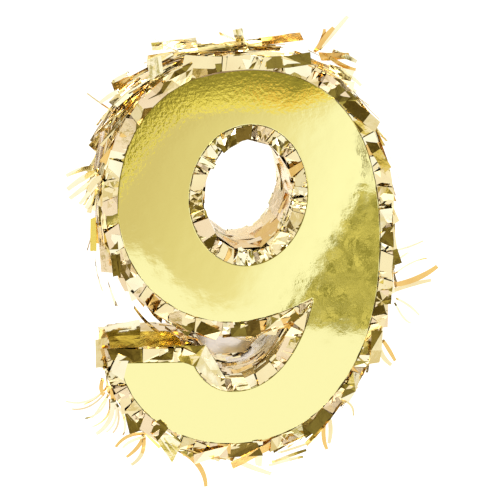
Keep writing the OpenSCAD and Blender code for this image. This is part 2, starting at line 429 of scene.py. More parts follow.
FOIL = foil_material("foil_champagne", (0.88, 0.76, 0.43), 0.07, wrinkle=0.5)
ROSE = foil_material("foil_rose", (0.84, 0.68, 0.43), 0.12, wrinkle=0.7)
AMBER = foil_material("foil_amber", (0.84, 0.56, 0.18), 0.14, wrinkle=0.8, deep=(0.6, 0.25, 0.06))
BRIGHT = foil_material("foil_bright", (0.97, 0.91, 0.63), 0.08, wrinkle=0.4)
REVERSE = foil_material("foil_reverse", (0.96, 0.87, 0.78), 0.20, wrinkle=0.2, deep=(0.7, 0.6, 0.5))
REVERSE.node_tree.nodes["Principled BSDF"].inputs["Metallic"].default_value = 0.7
LINING = foil_material("foil_lining", (0.93, 0.77, 0.50), 0.22, wrinkle=0.35, deep=(0.85, 0.5, 0.2))
LINING.node_tree.nodes["Principled BSDF"].inputs["Metallic"].default_value = 0.7
LEAF = foil_material("foil_gold", (0.78, 0.62, 0.13), 0.16, wrinkle=0.8, deep=(0.62, 0.40, 0.04))
FOILS = [FOIL, ROSE, AMBER, BRIGHT, REVERSE, LINING, LEAF]
CARD = card_material()
BOARD = board_material("kraft_board", (0.52, 0.36, 0.20), (0.36, 0.23, 0.12))
PAD = board_material("kraft_pad", (0.40, 0.26, 0.13), (0.28, 0.17, 0.08))
TAPE = board_material("paper_tape", (0.66, 0.54, 0.36), (0.52, 0.40, 0.25), flutes=False)


# ------------------------------------------------------------- mirror cards
RINGS = (0.3, 1.1, 2.3, 4.0, 6.2, 9.0)


def card_loop(path, step):
    """Points along the edge, then the same moved in from it ring by ring."""
    pts = []
    for k in range(len(path.pos) - 1):
        if not pts or np.linalg.norm(path.pos[k] - pts[-1][0]) > step * 0.75:
            pts.append((path.pos[k], path.nor[k]))
    if np.linalg.norm(pts[0][0] - pts[-1][0]) < step * 0.6:
        pts.pop()
    rings = [[p - n * d for p, n in pts] for d in RINGS]
    for k in range(len(pts)):
        (p, n), (q, m) = pts[k - 1], pts[k]
        turn = math.atan2(n[0] * m[1] - n[1] * m[0], n[0] * m[0] + n[1] * m[1])
        if turn < -0.6:
            tip = (p + q) / 2
            for ring, d in list(zip(rings, RINGS))[1:]:
                c = max(2, int(abs(turn) * d / 1.2))
                for i in range(1, c):
                    a = turn * i / c
                    ring.append(tip - d * np.array([n[0] * math.cos(a) - n[1] * math.sin(a), n[0] * math.sin(a) + n[1] * math.cos(a)]))
    return [p for p, n in pts], rings


_POLY = [tuple(p) for p in OUTLINE.pos[:-1:2]]


def flap_loop(grow, with_notch):
    """Outline of the filling flap, as the CAD has it."""
    lo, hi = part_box("fill_flap")
    x0, x1, z0, z1 = lo.x * 1000 - grow, hi.x * 1000 + grow, lo.z * 1000 - grow, hi.z * 1000 + grow
    r = 5.0
    pts = [(x0, z1), (x0, z0 + r)]
    for i in range(1, 7):
        a = math.pi + math.pi / 2 * i / 6
        pts.append((x0 + r + r * math.cos(a), z0 + r + r * math.sin(a)))
    cx = (x0 + x1) / 2
    if with_notch:
        nr = 9.0
        for i in range(0, 13):
            a = math.pi - math.pi * i / 12
            pts.append((cx + nr * math.cos(a), z0 + nr * math.sin(a)))
    for i in range(0, 7):
        a = 1.5 * math.pi + math.pi / 2 * i / 6
        pts.append((x1 - r + r * math.cos(a), z0 + r + r * math.sin(a)))
    pts.append((x1, z1))
    out = []
    for i in range(len(pts)):          # break long sides up
        a, b = np.array(pts[i]), np.array(pts[(i + 1) % len(pts)])
        n = max(1, int(np.linalg.norm(b - a) / 4))
        out += [tuple(a + (b - a) * k / n) for k in range(n)]
    return out


def inset_loop(pts, d):
    """Moves a closed anticlockwise loop in by d."""
    out = []
    n = len(pts)
    for i in range(n):
        p, q, r = (np.array(pts[(i + k) % n]) for k in (-1, 0, 1))
        a, b = (q - p) / max(np.linalg.norm(q - p), 1e-9), (r - q) / max(np.linalg.norm(r - q), 1e-9)
        na, nb = np.array([-a[1], a[0]]), np.array([-b[1], b[0]])
        m = na + nb
        m = m / max(np.dot(m, m) / 2, 0.4)
        out.append(q + m * d)
    return out


def pressed(x, z):
    """1 along the upper left edge, which was pressed down when the face was glued on."""
    a = math.degrees(math.atan2(z + 133, x + 5))
    if a < -90:
        a += 360
    m = max(0.0, min(1.0, (a - 44) / 24)) * max(0.0, min(1.0, (206 - a) / 96))
    g = edge_gap(x, z)
    w = 48.0 - 12.0 * max(0.0, (a - 120) / 70)
    return m * max(0.0, (w - g) / w)


def warp(x, z, side):
    """How far the card's face lies behind its plane, mm: the front face bends back along its pressed upper left edge,
    and both faces sit a little behind the plane with a slight waver.
    """
    g = edge_gap(x, z)
    h = 0.0
    if side < 0:
        h += 1.45 * pressed(x, z) ** 1.9
    h += 0.10 * noise.noise(Vector((x / 62, z / 62, 3.1 + side))) + 0.10
    return h


def make_card(name, side, loops, y_face, y_back, warp_on=True, bevel=0.3):
    """loops: list of (edge points, rings of inset points), the first is the outer one."""
    sgn = side
    verts2, edges = [], []
    for outer, rings in loops:
        b = len(verts2)
        n = len(rings[0])
        verts2 += [Vector((float(p[0]), float(p[1]))) for p in rings[0]]
        edges += [(b + i, b + (i + 1) % n) for i in range(n)]
    polys = []
    b = 0
    allb = np.array([(v.x, v.y) for v in verts2])
    for outer, rings in loops:
        polys.append(allb[b:b + len(rings[0])])
        b += len(rings[0])

    def inside(x, z):
        odd = False
        for P in polys:
            Q = np.roll(P, 1, 0)
            c = (P[:, 1] > z) != (Q[:, 1] > z)
            if c.any():
                xi = (Q[c, 0] - P[c, 0]) * (z - P[c, 1]) / (Q[c, 1] - P[c, 1]) + P[c, 0]
                if int((x < xi).sum()) % 2:
                    odd = not odd
        return odd
    for outer, rings in loops:
        for k, ring in enumerate(rings[1:], 1):
            kept = None
            for p in ring:
                if not inside(p[0], p[1]) or np.min((allb[:, 0] - p[0]) ** 2 + (allb[:, 1] - p[1]) ** 2) < (RINGS[k] - RINGS[0]) ** 2 * 0.8:
                    continue
                if kept is not None and np.linalg.norm(p - kept) < 1.0:
                    continue
                verts2.append(Vector((float(p[0]), float(p[1]))))
                kept = p
    x0, z0 = allb.min(0)
    x1, z1 = allb.max(0)
    g = 4.0
    iz = 0
    z = z0 + g
    while z < z1:
        x = x0 + g + (g / 2 if iz % 2 else 0)
        while x < x1:
            if np.min((allb[:, 0] - x) ** 2 + (allb[:, 1] - z) ** 2) > (RINGS[-1] + 2.0) ** 2 and inside(x, z):
                verts2.append(Vector((x, z)))
            x += g
        z += g * 0.866
        iz += 1
    vo, eo, fo, _, _, _ = delaunay_2d_cdt(verts2, edges, [], 0, 1e-5, False)
    faces = []
    for f in fo:
        c = sum((vo[i] for i in f), Vector((0, 0))) / len(f)
        if inside(c.x, c.y):
            a = (vo[f[1]] - vo[f[0]]).cross(vo[f[2]] - vo[f[0]])
            faces.append(tuple(f) if a > 0 else tuple(reversed(f)))
    V, F, S = [], [], []
    nv = len(vo)
    for v in vo:
        h = warp(v.x, v.y, side) if warp_on else 0.0
        V.append((v.x, y_face - sgn * h, v.y))
    rear = []
    for i, v in enumerate(vo):         # the board keeps some thickness where its face bends back
        y = V[i][1] - sgn * (bevel + 0.15)
        rear.append(min(y, y_back) if sgn > 0 else max(y, y_back))
        V.append((v.x, rear[i], v.y))
    # x-z triangles turning anticlockwise face -Y
    for f in faces:
        F.append(f if sgn < 0 else tuple(reversed(f))); S.append(True)
        g2 = tuple(i + nv for i in f)
        F.append(tuple(reversed(g2)) if sgn < 0 else g2); S.append(False)
    b = 0
    for outer, rings in loops:
        n = len(rings[0])
        e0 = len(V)
        for i, p in enumerate(outer):
            V.append((float(p[0]), V[b + i][1] - sgn * bevel, float(p[1])))
        e1 = len(V)
        for i, p in enumerate(outer):
            V.append((float(p[0]), rear[b + i], float(p[1])))
        for i in range(n):
            j = (i + 1) % n
            q = [(b + i, b + j, e0 + j, e0 + i), (e0 + i, e0 + j, e1 + j, e1 + i), (e1 + i, e1 + j, nv + b + j, nv + b + i)]
            for f in q:
                F.append(f if sgn > 0 else tuple(reversed(f))); S.append(False)
        b += n
    me = bpy.data.meshes.new(name)
    me.from_pydata([(x * MM, y * MM, z * MM) for x, y, z in V], [], F)
    me.materials.append(CARD)
    me.polygons.foreach_set("use_smooth", S)
    if side < 0:    # the film is more wrinkled where the edge was pressed down
        rimmed = me.attributes.new("wrinkled", "FLOAT", "POINT")
        rimmed.data.foreach_set("value", [pressed(x, z) for x, y, z in V])
    me.validate()
    me.update()
    o = bpy.data.objects.new(name, me)
    bpy.context.scene.collection.objects.link(o)
    return o


outer_pair = card_loop(OUTLINE, 2.6)
hole_pair = card_loop(OVAL, 2.6)
front_card = make_card("mirror_face_front", -1, [outer_pair, hole_pair], YF, YF + 1.45)
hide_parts("front_face_card"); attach(front_card, "shell")
opening = flap_loop(0.4, False)
opening_pair = (opening, [inset_loop(opening, -d) for d in RINGS])
back_card = make_card("mirror_face_back", 1, [outer_pair, hole_pair, opening_pair], YB, YB - 1.45)
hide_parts("back_face_card"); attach(back_card, "shell")
fl = flap_loop(0.0, True)
flap_card = make_card("mirror_face_flap", 1, [(fl, [inset_loop(fl, d) for d in RINGS])], YB, YB - 1.45, warp_on=False)
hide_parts("flap_face_card"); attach(flap_card, "flap")


# ------------------------------------------------------------- foil fringe
TO_EYE = Vector((-0.192, -0.944, 0.267))


def pick(rng, weights=(0.5, 0.26, 0.12, 0.12)):
    r = rng.random()
    for i, w in enumerate(weights):
        if r < w:
            return i
        r -= w
    return 0


def facing(rng, side, dark):
    """A direction for a flat facet to face: some turn to the dark end of the room."""
    if rng.random() < dark:
        n = TO_EYE + Vector((rng.uniform(-0.14, 0.14), 0, rng.uniform(-0.10, 0.12)))
    else:
        a = rng.uniform(0, 2 * math.pi)
        r = rng.uniform(0.05, 0.40)
        n = Vector((r * math.cos(a) + 0.12, -1, r * math.sin(a) - 0.13))
    n.normalize()
    if side > 0:
        n.y = -n.y
    return n


def plate(B, path, s0, s1, d0, d1, yc, n, mat, rng, skew=0.0, cells=(1, 1), jit=0.0, fold=0.0, side=-1, lim=4.5):
    """One flat facet of foil on the rim, and the end of it folded over the edge."""
    cm = path.point((s0 + s1) / 2, d0, yc)
    nu, nv = cells
    rows = []
    for i in range(nu + 1):
        q = s0 + (s1 - s0) * i / nu
        dm = reach(path, q, d1)
        row = []
        for j in range(nv + 1):
            t = j / nv
            d = d0 + (dm - d0) * t
            p = path.point(q + skew * t, d, yc)
            dy = (n.x * (p.x - cm.x) + n.z * (p.z - cm.z)) / -n.y
            dy = max(-lim, min(lim, dy))
            if j == 0:
                dy = max(-1.2, min(1.2, dy))
            dy += rng.uniform(-jit, jit)
            row.append(Vector((p.x, yc + dy, p.z)))
        if fold:
            q2 = q + skew
            y2 = row[-1].y
            row.append(path.point(q2, dm + rng.uniform(0.0, 1.0), y2 - side * fold * 0.5 + rng.uniform(-1, 1)))
            row.append(path.point(q2, dm + rng.uniform(-0.8, 1.4), y2 - side * fold + rng.uniform(-1.5, 1.5)))
        rows.append(row)
    B.sheet(rows, mat, 0.14, rng)


def rim_course(B, path, side, rng, weights, lengths=(9, 26), dark=0.17, crumple=0.25):
    """Short flaps folded over an edge of the body, lapped like shingles."""
    yf = YF if side < 0 else YB
    s = rng.uniform(0, 8)
    while s < path.total:
        L = rng.uniform(*lengths)
        d1 = 13.4 + rng.uniform(-2.2, 1.8)
        yc = yf - side * rng.uniform(-0.9, 0.9)
        n = facing(rng, side, dark)
        mat = pick(rng, weights)
        r = rng.random()
        if r < crumple:
            cells, jit = (rng.randint(3, 5), 3), 0.9
        elif r < crumple + 0.25:
            cells, jit = (2, 1), 0.7
        else:
            cells, jit = (1, 1), 0.15
        plate(B, path, s, s + L, 0.25, d1, yc, n, mat, rng, skew=rng.uniform(-7, 7),
              cells=cells, jit=jit, fold=rng.uniform(6, 15), side=side)
        s += L * rng.uniform(0.55, 0.9)


def strip_course(B, path, side, rng, weights, spacing, length, width, dark=0.3, keep=None):
    """Longer strips lying across the rim on the slant, tips past its outer edge."""
    yf = YF if side < 0 else YB
    s = rng.uniform(0, spacing)
    while s < path.total:
        if keep is None or keep(s):
            p, nrm = path.at(s)
            turn = 1 if nrm[0] < -0.15 or (abs(nrm[0]) <= 0.15 and rng.random() < 0.5) else -1
            L, w = rng.uniform(*length), rng.uniform(*width)
            slant = math.radians(rng.uniform(0, 13))
            d = rng.uniform(0.8, 2.5) + w / 2
            tang = Vector((-nrm[1], 0, nrm[0])) * turn
            outv = Vector((nrm[0], 0, nrm[1]))
            foot = path.point(s, d, 0)
            mat = pick(rng, weights)
            m = rng.randint(2, 3)
            y = yf + side * rng.uniform(0.4, 1.8)
            rows = []
            heading = slant
            pos = foot
            n = facing(rng, side, dark)
            yy = y
            for i in range(m + 1):
                t = tang * math.cos(heading) + outv * math.sin(heading)
                a = t.cross(Vector((0, 1, 0))).normalized()
                row = []
                for f in (-0.5, 0.5):
                    q = a * (f * w)
                    row.append(Vector((pos.x + q.x, yy + (n.x * q.x + n.z * q.z) / -n.y, pos.z + q.z)))
                rows.append(row)
                stp = L / m * rng.uniform(0.8, 1.2)
                yy += (n.x * t.x + n.z * t.z) * stp / -n.y * 0.7
                yy = max(min(yy, yf + 3.0), yf - 5.0) if side < 0 else min(max(yy, yf - 3.0), yf + 4.0)
                pos = pos + t * stp
                heading += rng.uniform(-0.10, 0.16)
                if rng.random() < 0.5:
                    n = facing(rng, side, dark)
            ok = all(edge_gap(r[k].x, r[k].z) > 0.2 and not over_card(r[k].x, r[k].z, path) for r in rows for k in (0, 1))
            if ok:
                B.sheet(rows, mat, 0.14, rng)
        s += spacing * rng.uniform(0.6, 1.4)


def over_card(x, z, path):
    if path is OVAL:
        hx, hz, a, b = HOLE
        return ((x - hx) / a) ** 2 + ((z - hz) / b) ** 2 > 1
    odd = False
    j = len(_POLY) - 1
    for i in range(len(_POLY)):
        xi, zi = _POLY[i]
        xj, zj = _POLY[j]
        if (zi > z) != (zj > z) and x < (xj - xi) * (z - zi) / (zj - zi) + xi:
            odd = not odd
        j = i
    return odd


def under_sheet(B, path, y0, y1, d, rng, mat=1, step=12.0, jit=0.5):
    """Crumpled backing patches of foil glued on a wall."""
    k = int(path.total / step)
    n = max(2, int(abs(y1 - y0) / 8))
    grid = [[path.point(path.total * i / k, reach(path, path.total * i / k, d) + rng.uniform(-jit, jit),
                        y0 + (y1 - y0) * j / n) for j in range(n + 1)] for i in range(k)]
    run = []
    for i in range(k + 1):
        row = grid[i % k]
        near = row[0].z > -14 and abs(row[0].x) < step * 1.05 and y0 < 18 and y1 > -18 and (y1 < -6 or y0 > 6)
        if near:
            if len(run) > 1:
                B.sheet(run, mat, 0.12, rng)
            run = []
            continue
        run.append(row)
        if len(run) == 7:
            B.sheet(run, mat, 0.12, rng)
            run = [row]
    if len(run) > 1:
        B.sheet(run, mat, 0.12, rng)


# stretches of the outline between which the walls face into the gap of the 9
GAP_0, GAP_1 = OUTLINE.mark[3], OUTLINE.mark[6]


def wall_course(B, path, yc, rng, spacing, length, width, lift, weights, base_d=11.9, stray=0.05, seg=(3, 5), keep=None, rough=0.3):
    """Cut strips combed along the wall, tips free."""
    s = rng.uniform(0, spacing)
    while s < path.total:
        if keep and not keep(s):
            s += spacing
            continue
        p, n = path.at(s)
        down = -n[0]  # anticlockwise travel goes down where the normal points left
        if path is OVAL:
            d_sign = 1 if rng.random() < 0.5 else -1
        else:
            d_sign = 1 if (down > 0.25 or (abs(down) <= 0.25 and rng.random() < 0.5)) else -1
        L = rng.uniform(*length)
        m = rng.randint(*seg)
        w = rng.uniform(*width)
        lf = rng.uniform(*lift)
        if rng.random() < stray:
            lf += rng.uniform(4, 10)
        mat = pick(rng, weights)
        d0 = base_d + rng.uniform(0, 1.6)
        y = yc + rng.uniform(-3, 3)
        dy = rng.uniform(-5, 5)
        tw = rng.uniform(-2.4, 2.4)
        rows = []
        for i in range(m + 1):
            t = i / m
            q = s + d_sign * L * t
            d = d0 + lf * t ** 1.8 + rng.uniform(-rough, rough)
            d = reach(path, q, d)
            ww = w * (1 - 0.3 * t)
            yy = y + dy * t
            tilt = tw * t + rng.uniform(-rough, rough) * 1.3
            rows.append([path.point(q, d + tilt, yy - ww / 2), path.point(q, d - tilt, yy + ww / 2)])
        rows = rows[:over_hang_hole(rows)]
        if len(rows) > 1:
            B.sheet(rows, mat, 0.12, rng)
        s += spacing * rng.uniform(0.6, 1.4)


def wall_sheet(B, s0, s1, y0, y1, d, mat, rng, ns=9, ny=3, jit=0.45):
    """A broad crumpled sheet lying on the outer wall."""
    B.sheet([[OUTLINE.point(s0 + (s1 - s0) * i / ns, reach(OUTLINE, s0 + (s1 - s0) * i / ns, d) + rng.uniform(-jit, jit),
                            y0 + (y1 - y0) * j / ny + rng.uniform(-0.8, 0.8)) for j in range(ny + 1)] for i in range(ns + 1)], mat, 0.14, rng)


def finish_piece(B, name, nodes, mats=FOILS, body="shell"):
    o = B.object(name, mats)
    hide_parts(*nodes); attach(o, body)
    return o


W_OUT = (0.54, 0.22, 0.07, 0.17)
W_SIDE = (0.44, 0.36, 0.06, 0.14)
W_IN = (0.10, 0.34, 0.20, 0.06, 0.10, 0.20)
outside = lambda s: not (GAP_0 - 6 < s % OUTLINE.total < GAP_1 + 4)
in_gap = lambda s: GAP_0 < s % OUTLINE.total < GAP_1
for side, nodes in ((-1, ("front_edge_fringe",)), (1, ("back_edge_fringe",))):
    rng = random.Random(11 + side)
    B = Builder()
    yf = YF if side < 0 else YB
    rim_course(B, OUTLINE, side, rng, W_OUT, lengths=(12, 32))
    rim_course(B, OUTLINE, side, rng, W_OUT, lengths=(10, 26))
    strip_course(B, OUTLINE, side, rng, W_OUT, 46, (24, 46), (8, 12), dark=0.2, keep=outside)
    for k, yc in enumerate((yf - side * 5, yf - side * 9, yf - side * 13)):
        wall_course(B, OUTLINE, yc, rng, 13, (34, 66), (3.5, 8), (0.3, 3.6), W_SIDE, stray=0.06, keep=outside)
    finish_piece(B, "foil_edge_" + ("front" if side < 0 else "back"), nodes)
for k, yc in enumerate((-15.0, 0.0, 15.0)):
    rng = random.Random(31 + k)
    B = Builder()
    under_sheet(B, OUTLINE, yc - 8.5, yc + 8.5, 11.6, rng, mat=1)
    for off in (-5.5, -1.5, 2.5, 6.5):
        wall_course(B, OUTLINE, yc + off, rng, 12, (38, 76), (3, 8), (0.6, 5.5), W_SIDE, stray=0.07, keep=outside)
    for off in (-4, 4):
        wall_course(B, OUTLINE, yc + off, rng, 26, (50, 84), (9, 15), (0.2, 1.2), W_IN, stray=0.0, seg=(8, 10), keep=in_gap, rough=0.12)
    finish_piece(B, "foil_course_%d" % (k + 1), ("fringe_row_%d" % (k + 1),))
rng = random.Random(91)
H0, H1 = OUTLINE.mark[5], OUTLINE.mark[6]
B = Builder()
wall_sheet(B, H0 + 8, H1 - 2, -36.5, -20, 15.0, 2, rng, ns=8, jit=0.5)
B.sheet([[Vector((x, y, z0 + (z1 - z0) * j / 4 + rng.uniform(-0.25, 0.25))) for j, y in enumerate((-36.5, -29, -22, -15, -8))]
         for x, z0, z1 in ((-123, -278.6, -272.5), (-112, -278.4, -272), (-100, -278, -272), (-88, -277.8, -271.8), (-76, -277.6, -272), (-64, -277.4, -272.6), (-55, -277.4, -273))], 6, 0.14, rng)
wall_sheet(B, H0 + 2, H0 + 34, -22, 8, 15.2, 1, rng, ns=4, jit=0.5)
wall_sheet(B, H0 + 30, H1 + 4, -19, 12, 15.6, 0, rng, ns=5, jit=0.6)
wall_sheet(B, H0 + 4, H1, 10, 34, 15.0, 1, rng, ns=6, jit=0.6)
T0, T1 = OUTLINE.mark[3], OUTLINE.mark[4]
for y0, y1, a, b, mat in ((-34, -16, 0.42, 1.0, 2), (-18, 2, 0.30, 0.98, 5), (0, 18, 0.36, 1.0, 4), (14, 34, 0.30, 0.9, 4)):
    wall_sheet(B, T0 + (T1 - T0) * a, T0 + (T1 - T0) * b, y0, y1, 14.4, mat, rng, ns=12, ny=2, jit=0.25)
gap_sheets = B.object("foil_gap_sheets", FOILS)
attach(gap_sheets, "shell")
for side, nodes in ((-1, ("front_hole_fringe",)), (1, ("back_hole_fringe",))):
    rng = random.Random(57 + side)
    B = Builder()
    rim_course(B, OVAL, side, rng, (0.66, 0.14, 0.04, 0.16), lengths=(10, 24), dark=0.22, crumple=0.35)
    rim_course(B, OVAL, side, rng, (0.66, 0.14, 0.04, 0.16), lengths=(6, 14), dark=0.10, crumple=0.6)
    finish_piece(B, "foil_hole_edge_" + ("front" if side < 0 else "back"), nodes)


def hole_panels(B, y0, y1, count, d, rng, weights, spread):
    """Broad flat panels of foil lining the counter hole."""
    step = OVAL.total / count
    for k in range(count):
        s0 = k * step + rng.uniform(-2, 2)
        s1 = s0 + step * 1.18
        d0, d1 = d + rng.uniform(0, spread), d + rng.uniform(0, spread)
        lean = rng.uniform(-1.2, 1.2)
        rows = [[OVAL.point(s0 + lean * 2, d0, y0 + rng.uniform(-2, 2)), OVAL.point(s0 - lean, d0 + rng.uniform(-1, 1), y1 + rng.uniform(-2, 2))],
                [OVAL.point(s1 + lean, d1, y0 + rng.uniform(-2, 2)), OVAL.point(s1, d1 + rng.uniform(-1, 1), y1 + rng.uniform(-2, 2))]]
        B.sheet(rows, pick(rng, weights), 0.12, rng)


for k, (y0, y1) in enumerate(((-33.0, 4.0), (-4.0, 33.0))):
    rng = random.Random(71 + k)
    B = Builder()
    under_sheet(B, OVAL, y0, y1, 11.4, rng, mat=2, step=18)
    hole_panels(B, y0, y1, 11, 12.2, rng, (0.08, 0.0, 0.32, 0.0, 0.0, 0.60), 1.6)
    wall_course(B, OVAL, (y0 + y1) / 2, rng, 34, (20, 36), (6, 14), (0.2, 1.6), (0.1, 0.1, 0.5, 0.0, 0.0, 0.3), base_d=13.6, stray=0.0, seg=(1, 2))
    finish_piece(B, "foil_hole_course_%d" % (k + 1), ("hole_fringe_row_%d" % (k + 1),))

# ------------------------------------------- loose curls, larger flaps, strands
# Strands: depth y, width, foil, then points as (x, z), all in mm.
STRANDS = [
    (-28, 1.6, 3, [(-127, -325), (-144, -336), (-163, -335)]),
    (-30, 1.4, 1, [(-128, -329), (-142, -341), (-157, -343)]),
    (-31, 1.5, 3, [(-124, -331), (-131, -346), (-144, -353)]),
    (-30, 1.6, 1, [(-121, -336), (-124, -352), (-138, -363)]),
    (-33, 4.2, 3, [(-119, -335), (-121, -354), (-133, -369)]),
    (-31, 1.6, 3, [(-116, -335), (-115, -354), (-123, -368)]),
    (-30, 1.5, 1, [(-114, -340), (-112, -357), (-117, -369)]),
    (-32, 1.7, 3, [(-113, -340), (-106, -356), (-107, -371)]),
    (-26, 1.3, 2, [(-125, -323), (-134, -333), (-145, -340)]),
    (-27, 1.3, 3, [(-122, -328), (-130, -343), (-137, -355)]),
    (-33, 4.5, 2, [(-120, -320), (-118, -332), (-117, -344)]),
    (-33, 3.4, 2, [(-129, -312), (-130, -320), (-128, -328)]),
    (-30, 2.6, 2, [(-88, -369), (-103, -372), (-114, -383)]),
    (-31, 2.4, 0, [(-88, -372), (-100, -377), (-107, -384)]),
    (-30, 2.8, 2, [(-88, -373), (-93, -384), (-103, -394)]),
    (-31, 2.8, 0, [(-87, -375), (-89, -392), (-98, -403)]),
    (-32, 2.2, 2, [(-87, -375), (-87, -383), (-88, -390)]),
    (-31, 4.4, 2, [(-50, -388), (-31, -406), (-23, -429)]),
    (-33, 5, 3, [(0, -396), (19, -406), (41, -415)]),
    (-30, 2.4, 0, [(44, -402), (59, -396), (75, -390)]),
    (-31, 2.2, 3, [(41, -405), (57, -400), (72, -397)]),
    (-31, 2, 0, [(49, -392), (64, -387), (78, -382)]),
    (-30, 3.8, 2, [(92, -359), (93, -378), (98, -393)]),
    (-32, 3, 0, [(96, -356), (99, -371), (99, -386)]),
    (-30, 1.6, 0, [(110, -339), (119, -346), (122, -357)]),
    (-31, 5.5, 2, [(156, -219), (176, -212), (193, -200)]),
    (-30, 4, 0, [(155, -225), (172, -219), (189, -215)]),
    (-28, 1.6, 3, [(153, -197), (164, -188), (176, -184)]),
    (-27, 1.4, 3, [(152, -186), (166, -182), (179, -176)]),
    (-26, 1.2, 3, [(156, -208), (170, -198), (184, -194)]),
    (-30, 1.6, 3, [(158, -235), (170, -242), (181, -252)]),
    (-31, 1.4, 3, [(156, -241), (165, -254), (173, -260)]),
    (-29, 3.6, 2, [(147, -279), (154, -289), (161, -300)]),
    (-30, 3.2, 0, [(143, -285), (148, -295), (157, -304)]),
    (-20, 4.5, 2, [(64, 7), (71, 19), (77, 27)]),
    (-14, 4, 3, [(69, 8), (81, 24), (91, 37)]),
    (-18, 2.4, 2, [(63, 5), (68, 16), (69, 25)]),
    (-6, 3, 3, [(84, 2), (95, -2), (106, -7)]),
    (-10, 2.6, 2, [(79, -3), (94, -11), (105, -14)]),
    (-12, 2.2, 3, [(89, -14), (101, -21), (111, -29)]),
    (-25, 3, 3, [(-121, -36), (-128, -40), (-137, -47)]),
    (-10, 2.6, 3, [(-111, -22), (-118, -26), (-125, -30)]),
    (-15, 5, 3, [(-137, -113), (-149, -119), (-164, -131)]),
    (-18, 4.5, 3, [(-138, -118), (-147, -126), (-162, -139)]),
    (-22, 3.6, 3, [(-138, -123), (-144, -131), (-153, -143)]),
    (-20, 3, 3, [(-137, -129), (-142, -139), (-147, -148)]),
    (-8, 3.2, 3, [(-140, -111), (-152, -113), (-165, -119)]),
    (-30, 5, 0, [(-132, -114), (-140, -119), (-146, -129)]),
]
# Larger flaps: depth y, foil, then four corners as (x, z), all in mm.
PIECES = [
    ("white_flap", -33, 3, [(-97, -5), (-84, -1), (-79, -28), (-92, -32)]),
    ("top_tab", -4, 3, [(-14, 20), (-5, 22), (-2, 11), (-10, 8)]),
    ("top_tab_low", -8, 0, [(-11, 8), (-3, 11), (5, -2), (-4, -5)]),
    ("orange_top", 6, 2, [(12, 12), (52, 18), (57, 10), (16, 5)]),
    ("pale_top_left", 14, 3, [(-88, 4), (-45, 9), (-42, 0), (-86, -3)]),
    ("pale_top_mid", 2, 3, [(-47, 5), (15, 12), (16, 4), (-43, -4)]),
    ("top_right_a", -8, 2, [(67, 2), (98, 1), (101, -5), (70, -6)]),
    ("top_right_b", -14, 3, [(76, -8), (102, -14), (99, -27), (81, -18)]),
    ("hook_sheet", -16, 3, [(-131, -265), (-93, -257), (-92, -274), (-132, -278)]),
    ("hook_end", -30, 0, [(-136, -273), (-125, -271), (-122, -301), (-136, -299)]),
    ("tip_flap", -40, 3, [(-116, -283), (-105, -287), (-110, -310), (-123, -301)]),
    ("hook_strip_a", -39.5, 0, [(-126, -279), (-95, -279), (-94, -290), (-121, -290)]),
    ("hook_strip_b", -39, 0, [(-97, -279), (-63, -278), (-64, -289), (-94, -290)]),
    ("twist_a", -40, 0, [(-63, -277), (-33, -275), (-41, -297), (-56, -292)]),
    ("twist_b", -40, 3, [(-33, -275), (-11, -311), (-20, -319), (-41, -297)]),
    ("olive_flap_a", -36.8, 0, [(-109, -337), (-96, -336), (-91, -361), (-102, -365)]),
    ("long_flap", -36.8, 3, [(-93, -348), (-83, -341), (-51, -377), (-60, -396)]),
    ("long_flap_dark", -37.2, 0, [(-92, -348), (-82, -341), (-65, -359), (-75, -372)]),
    ("bottom_flap_1", -37, 0, [(-43, -374), (-20, -378), (-19, -395), (-45, -390)]),
    ("bottom_flap_2", -37, 0, [(-22, -378), (6, -382), (0, -397), (-19, -392)]),
    ("bottom_spike", -37, 3, [(19, -376), (29, -376), (30, -405), (24, -403)]),
    ("throat_hang", -6, 4, [(-39, -272), (29, -276), (13, -296), (-25, -297)]),
    ("under_dark", -36.8, 0, [(-51, -245), (-38, -248), (-38, -261), (-50, -258)]),
    ("under_cream", -37, 3, [(-38, -252), (-5, -253), (-3, -265), (-35, -264)]),
    ("under_dark_2", -36.8, 0, [(-9, -253), (18, -253), (16, -268), (-6, -266)]),
    ("left_reverse_a", -18, 4, [(-138, -116), (-130, -116), (-132, -167), (-138, -160)]),
    ("left_reverse_b", -14, 4, [(-135, -76), (-128, -72), (-133, -119), (-141, -117)]),
    ("left_rose", -20, 1, [(-132, -71), (-125, -67), (-129, -116), (-134, -118)]),
    ("left_amber", -20, 6, [(-143, -156), (-138, -154), (-136, -189), (-142, -189)]),
    ("left_cream", -26, 1, [(-137, -162), (-127, -158), (-121, -208), (-132, -207)]),
    ("left_dark_gap", -31, 0, [(-137, -129), (-132, -127), (-131, -153), (-136, -156)]),
    ("left_dark_b", -33, 0, [(-135, -154), (-130, -151), (-124, -174), (-127, -177)]),
    ("left_olive", -37, 0, [(-125, -175), (-117, -171), (-115, -206), (-123, -207)]),
    ("left_cream_b", -36.8, 1, [(-116, -181), (-114, -183), (-102, -208), (-115, -209)]),
    ("left_low", -36.4, 1, [(-118, -209), (-101, -210), (-93, -222), (-111, -223)]),
    ("under_strip", -37, 2, [(16, -253), (64, -248), (65, -259), (16, -264)]),
]


def smooth_line(pts, y, n, rng, bow=3.0):
    a, b, c = [Vector((p[0], 0, p[1])) for p in pts]
    ctrl = b * 2 - (a + c) / 2
    out = []
    ph = rng.uniform(0, 6.28)
    for i in range(n):
        t = i / (n - 1)
        p = a * (1 - t) ** 2 + ctrl * 2 * t * (1 - t) + c * t * t
        out.append(Vector((p.x, y + 0.16 * (a.z - p.z) + bow * 0.4 * t * math.sin(ph + 2.2 * t), p.z)))
    return out


